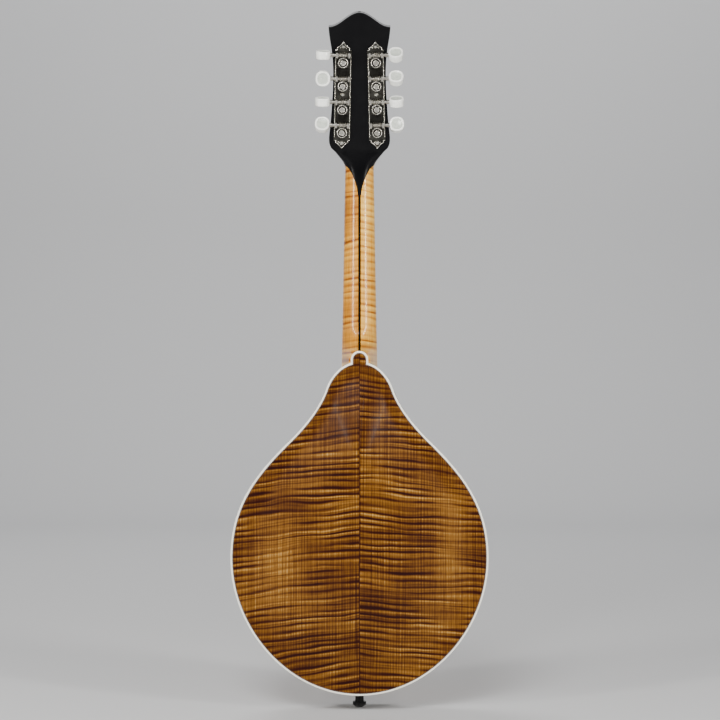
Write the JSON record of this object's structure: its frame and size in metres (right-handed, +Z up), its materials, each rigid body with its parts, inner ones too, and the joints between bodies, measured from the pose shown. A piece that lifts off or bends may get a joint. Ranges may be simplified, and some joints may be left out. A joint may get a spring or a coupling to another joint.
{
  "type": "carved mandolin",
  "caption": "Teardrop mandolin with a carved flamed-maple back, bound edges, paired strings, geared tuners, an adjustable bridge and a sliding tailpiece cover.",
  "frame": {"origin": "middle of the neck at the nut, on the plane under the fingerboard, where a hanger holds it", "axes": "+Z up the neck to the headstock, -Y out of the soundboard, +X to the treble side; the back faces +Y"},
  "size_m": [0.254, 0.097, 0.686],
  "materials": {
    "spruce_top": "gloss varnish",
    "maple_body": "gloss varnish",
    "maple_neck": "gloss varnish",
    "inner_wood": "raw",
    "binding": "gloss",
    "ebony": "satin",
    "black_veneer": "gloss varnish",
    "black_plastic": "gloss",
    "bone": "satin",
    "pearl": "gloss",
    "pearloid": "gloss",
    "nickel": "polished",
    "nickel_silver": "polished",
    "steel": "satin",
    "brass": "polished",
    "bronze": "satin"
  },
  "bodies": {
    "instrument": {"top_plate": "spruce_top", "back_plate_bass": "maple_body", "back_plate_treble": "maple_body", "ribs": "maple_body", "neck_block": "inner_wood", "tail_block": "inner_wood", "kerfed_linings": "inner_wood", "tone_bars": "inner_wood", "body_binding": "binding", "neck_bass_side": "maple_neck", "neck_treble_side": "maple_neck", "neck_centre_strip": "ebony", "headstock_face": "black_veneer", "headstock_backstrap": "black_veneer", "truss_rod": "steel", "truss_rod_cover": "black_plastic", "nut": "bone", "fingerboard": "ebony", "fingerboard_binding": "binding", "frets": "nickel_silver", "position_dots": "pearl", "fingerboard_support": "maple_neck", "bridge_base": "ebony", "bridge_posts": "brass", "tailpiece_base": "nickel", "end_pin": "black_plastic", "mounting_screws": "nickel", "strings_wound": "bronze", "strings_plain": "steel", "tuner_plate_bass": "nickel", "tuner_plate_treble": "nickel", "post_bushings": "nickel"},
    "key_bass_1": {"tuner_worm_bass_1": "nickel", "tuner_button_bass_1": "pearloid"},
    "post_bass_1": {"tuner_post_bass_1": "nickel"},
    "key_bass_2": {"tuner_worm_bass_2": "nickel", "tuner_button_bass_2": "pearloid"},
    "post_bass_2": {"tuner_post_bass_2": "nickel"},
    "key_bass_3": {"tuner_worm_bass_3": "nickel", "tuner_button_bass_3": "pearloid"},
    "post_bass_3": {"tuner_post_bass_3": "nickel"},
    "key_bass_4": {"tuner_worm_bass_4": "nickel", "tuner_button_bass_4": "pearloid"},
    "post_bass_4": {"tuner_post_bass_4": "nickel"},
    "key_treble_1": {"tuner_worm_treble_1": "nickel", "tuner_button_treble_1": "pearloid"},
    "post_treble_1": {"tuner_post_treble_1": "nickel"},
    "key_treble_2": {"tuner_worm_treble_2": "nickel", "tuner_button_treble_2": "pearloid"},
    "post_treble_2": {"tuner_post_treble_2": "nickel"},
    "key_treble_3": {"tuner_worm_treble_3": "nickel", "tuner_button_treble_3": "pearloid"},
    "post_treble_3": {"tuner_post_treble_3": "nickel"},
    "key_treble_4": {"tuner_worm_treble_4": "nickel", "tuner_button_treble_4": "pearloid"},
    "post_treble_4": {"tuner_post_treble_4": "nickel"},
    "saddle": {"bridge_saddle": "ebony"},
    "wheel_bass": {"bridge_wheel_bass": "brass"},
    "wheel_treble": {"bridge_wheel_treble": "brass"},
    "cover": {"tailpiece_cover": "nickel"}
  },
  "joints": [
    {"name": "saddle_lift", "type": "slide", "parent": "instrument", "child": "saddle", "axis": [0, -1, 0], "range_m": [-0.00119, 0.00159], "deforming": ["strings_wound", "strings_plain"]},
    {"name": "wheel_bass_turn", "type": "hinge", "parent": "saddle", "child": "wheel_bass", "pos_m": [-0.033, -0.031, -0.35025], "axis": [0, -1, 0], "range_deg": [-540, 720]},
    {"name": "wheel_treble_turn", "type": "hinge", "parent": "saddle", "child": "wheel_treble", "pos_m": [0.033, -0.031, -0.35025], "axis": [0, -1, 0], "range_deg": [-540, 720]},
    {"name": "cover_slide", "type": "slide", "parent": "instrument", "child": "cover", "axis": [0, -0.1323, 0.9912], "range_m": [0, 0.03]},
    {"name": "tune_bass_1", "type": "hinge", "parent": "instrument", "child": "key_bass_1", "pos_m": [-0.01725, 0.02807, 0.03608], "axis": [0.9998, -0.0061, -0.02], "continuous": true},
    {"name": "post_bass_1_turn", "type": "hinge", "parent": "instrument", "child": "post_bass_1", "pos_m": [-0.0174, 0.02144, 0.03045], "axis": [0, 0.9563, -0.2924], "continuous": true},
    {"name": "tune_bass_2", "type": "hinge", "parent": "instrument", "child": "key_bass_2", "pos_m": [-0.01676, 0.03479, 0.05807], "axis": [0.9998, -0.0061, -0.02], "continuous": true},
    {"name": "post_bass_2_turn", "type": "hinge", "parent": "instrument", "child": "post_bass_2", "pos_m": [-0.01692, 0.02816, 0.05244], "axis": [0, 0.9563, -0.2924], "continuous": true},
    {"name": "tune_bass_3", "type": "hinge", "parent": "instrument", "child": "key_bass_3", "pos_m": [-0.01628, 0.04152, 0.08006], "axis": [0.9998, -0.0061, -0.02], "continuous": true},
    {"name": "post_bass_3_turn", "type": "hinge", "parent": "instrument", "child": "post_bass_3", "pos_m": [-0.01644, 0.03488, 0.07443], "axis": [0, 0.9563, -0.2924], "continuous": true},
    {"name": "tune_bass_4", "type": "hinge", "parent": "instrument", "child": "key_bass_4", "pos_m": [-0.0158, 0.04824, 0.10205], "axis": [0.9998, -0.0061, -0.02], "continuous": true},
    {"name": "post_bass_4_turn", "type": "hinge", "parent": "instrument", "child": "post_bass_4", "pos_m": [-0.01596, 0.04161, 0.09642], "axis": [0, 0.9563, -0.2924], "continuous": true},
    {"name": "tune_treble_1", "type": "hinge", "parent": "instrument", "child": "key_treble_1", "pos_m": [0.01725, 0.02807, 0.03608], "axis": [0.9998, 0.0061, 0.02], "continuous": true},
    {"name": "post_treble_1_turn", "type": "hinge", "parent": "instrument", "child": "post_treble_1", "pos_m": [0.0174, 0.02144, 0.03045], "axis": [0, 0.9563, -0.2924], "continuous": true},
    {"name": "tune_treble_2", "type": "hinge", "parent": "instrument", "child": "key_treble_2", "pos_m": [0.01676, 0.03479, 0.05807], "axis": [0.9998, 0.0061, 0.02], "continuous": true},
    {"name": "post_treble_2_turn", "type": "hinge", "parent": "instrument", "child": "post_treble_2", "pos_m": [0.01692, 0.02816, 0.05244], "axis": [0, 0.9563, -0.2924], "continuous": true},
    {"name": "tune_treble_3", "type": "hinge", "parent": "instrument", "child": "key_treble_3", "pos_m": [0.01628, 0.04152, 0.08006], "axis": [0.9998, 0.0061, 0.02], "continuous": true},
    {"name": "post_treble_3_turn", "type": "hinge", "parent": "instrument", "child": "post_treble_3", "pos_m": [0.01644, 0.03488, 0.07443], "axis": [0, 0.9563, -0.2924], "continuous": true},
    {"name": "tune_treble_4", "type": "hinge", "parent": "instrument", "child": "key_treble_4", "pos_m": [0.0158, 0.04824, 0.10205], "axis": [0.9998, 0.0061, 0.02], "continuous": true},
    {"name": "post_treble_4_turn", "type": "hinge", "parent": "instrument", "child": "post_treble_4", "pos_m": [0.01596, 0.04161, 0.09642], "axis": [0, 0.9563, -0.2924], "continuous": true}
  ],
  "couplings": [
    {"joint": "wheel_bass_turn", "follows": "saddle_lift", "rad_per_m": 7913.3},
    {"joint": "wheel_treble_turn", "follows": "saddle_lift", "rad_per_m": 7913.3},
    {"joint": "post_bass_1_turn", "follows": "tune_bass_1", "ratio": -0.071429},
    {"joint": "post_bass_2_turn", "follows": "tune_bass_2", "ratio": -0.071429},
    {"joint": "post_bass_3_turn", "follows": "tune_bass_3", "ratio": -0.071429},
    {"joint": "post_bass_4_turn", "follows": "tune_bass_4", "ratio": -0.071429},
    {"joint": "post_treble_1_turn", "follows": "tune_treble_1", "ratio": -0.071429},
    {"joint": "post_treble_2_turn", "follows": "tune_treble_2", "ratio": -0.071429},
    {"joint": "post_treble_3_turn", "follows": "tune_treble_3", "ratio": -0.071429},
    {"joint": "post_treble_4_turn", "follows": "tune_treble_4", "ratio": -0.071429}
  ]
}
